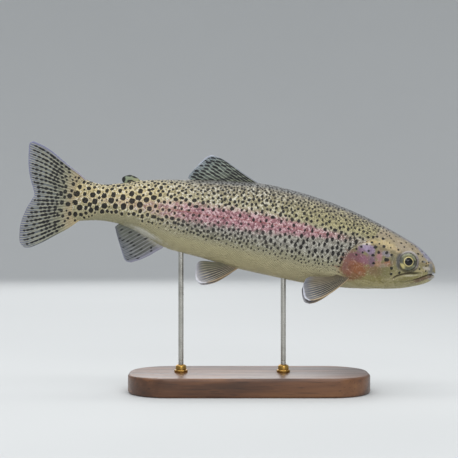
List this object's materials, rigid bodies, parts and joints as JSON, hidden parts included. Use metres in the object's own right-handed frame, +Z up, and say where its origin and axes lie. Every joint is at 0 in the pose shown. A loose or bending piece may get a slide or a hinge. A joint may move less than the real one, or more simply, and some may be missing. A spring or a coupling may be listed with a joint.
{
  "type": "rainbow trout",
  "caption": "Life-size still model of a swimming rainbow trout, held slightly nose-down on two rods above a flat wooden display base.",
  "frame": {"origin": "middle of the underside of the whole model's box, on the plane that the base stands on", "axes": "+X towards the fish's nose, +Z up, so the fish's right side faces -Y"},
  "size_m": [0.4004, 0.096, 0.24],
  "materials": {
    "body_skin": "wet-looking scaled skin: olive back, pink stripe, silvery flank, pale belly, black spots",
    "head_skin": "smooth wet skin, olive-gold with small black spots",
    "gill_cover": "smooth sheen, rose and orange over silver",
    "jaw": "smooth, pale olive-cream",
    "fin": "thin rayed membrane, grey-olive with black spots",
    "eye": "clear-coated, gold iris and black pupil",
    "stand_wood": "satin-varnished dark hardwood",
    "stand_rod": "fine brushed",
    "stand_collar": "turned and satin-polished"
  },
  "bodies": {
    "root": {"head": "head_skin", "lower_jaw": "jaw", "maxilla_right": "jaw", "maxilla_left": "jaw", "gill_cover_right": "gill_cover", "gill_cover_left": "gill_cover", "eye_right": "eye", "eye_left": "eye", "trunk_front": "body_skin", "trunk_rear": "body_skin", "tail_stalk": "body_skin", "dorsal_fin": "fin", "adipose_fin": "fin", "caudal_fin_upper": "fin", "caudal_fin_lower": "fin", "anal_fin": "fin", "pelvic_fin_right": "fin", "pelvic_fin_left": "fin", "pectoral_fin_right": "fin", "pectoral_fin_left": "fin", "stand_base": "stand_wood", "stand_collar_front": "stand_collar", "stand_collar_rear": "stand_collar", "stand_rod_front": "stand_rod", "stand_rod_rear": "stand_rod"}
  },
  "joints": []
}
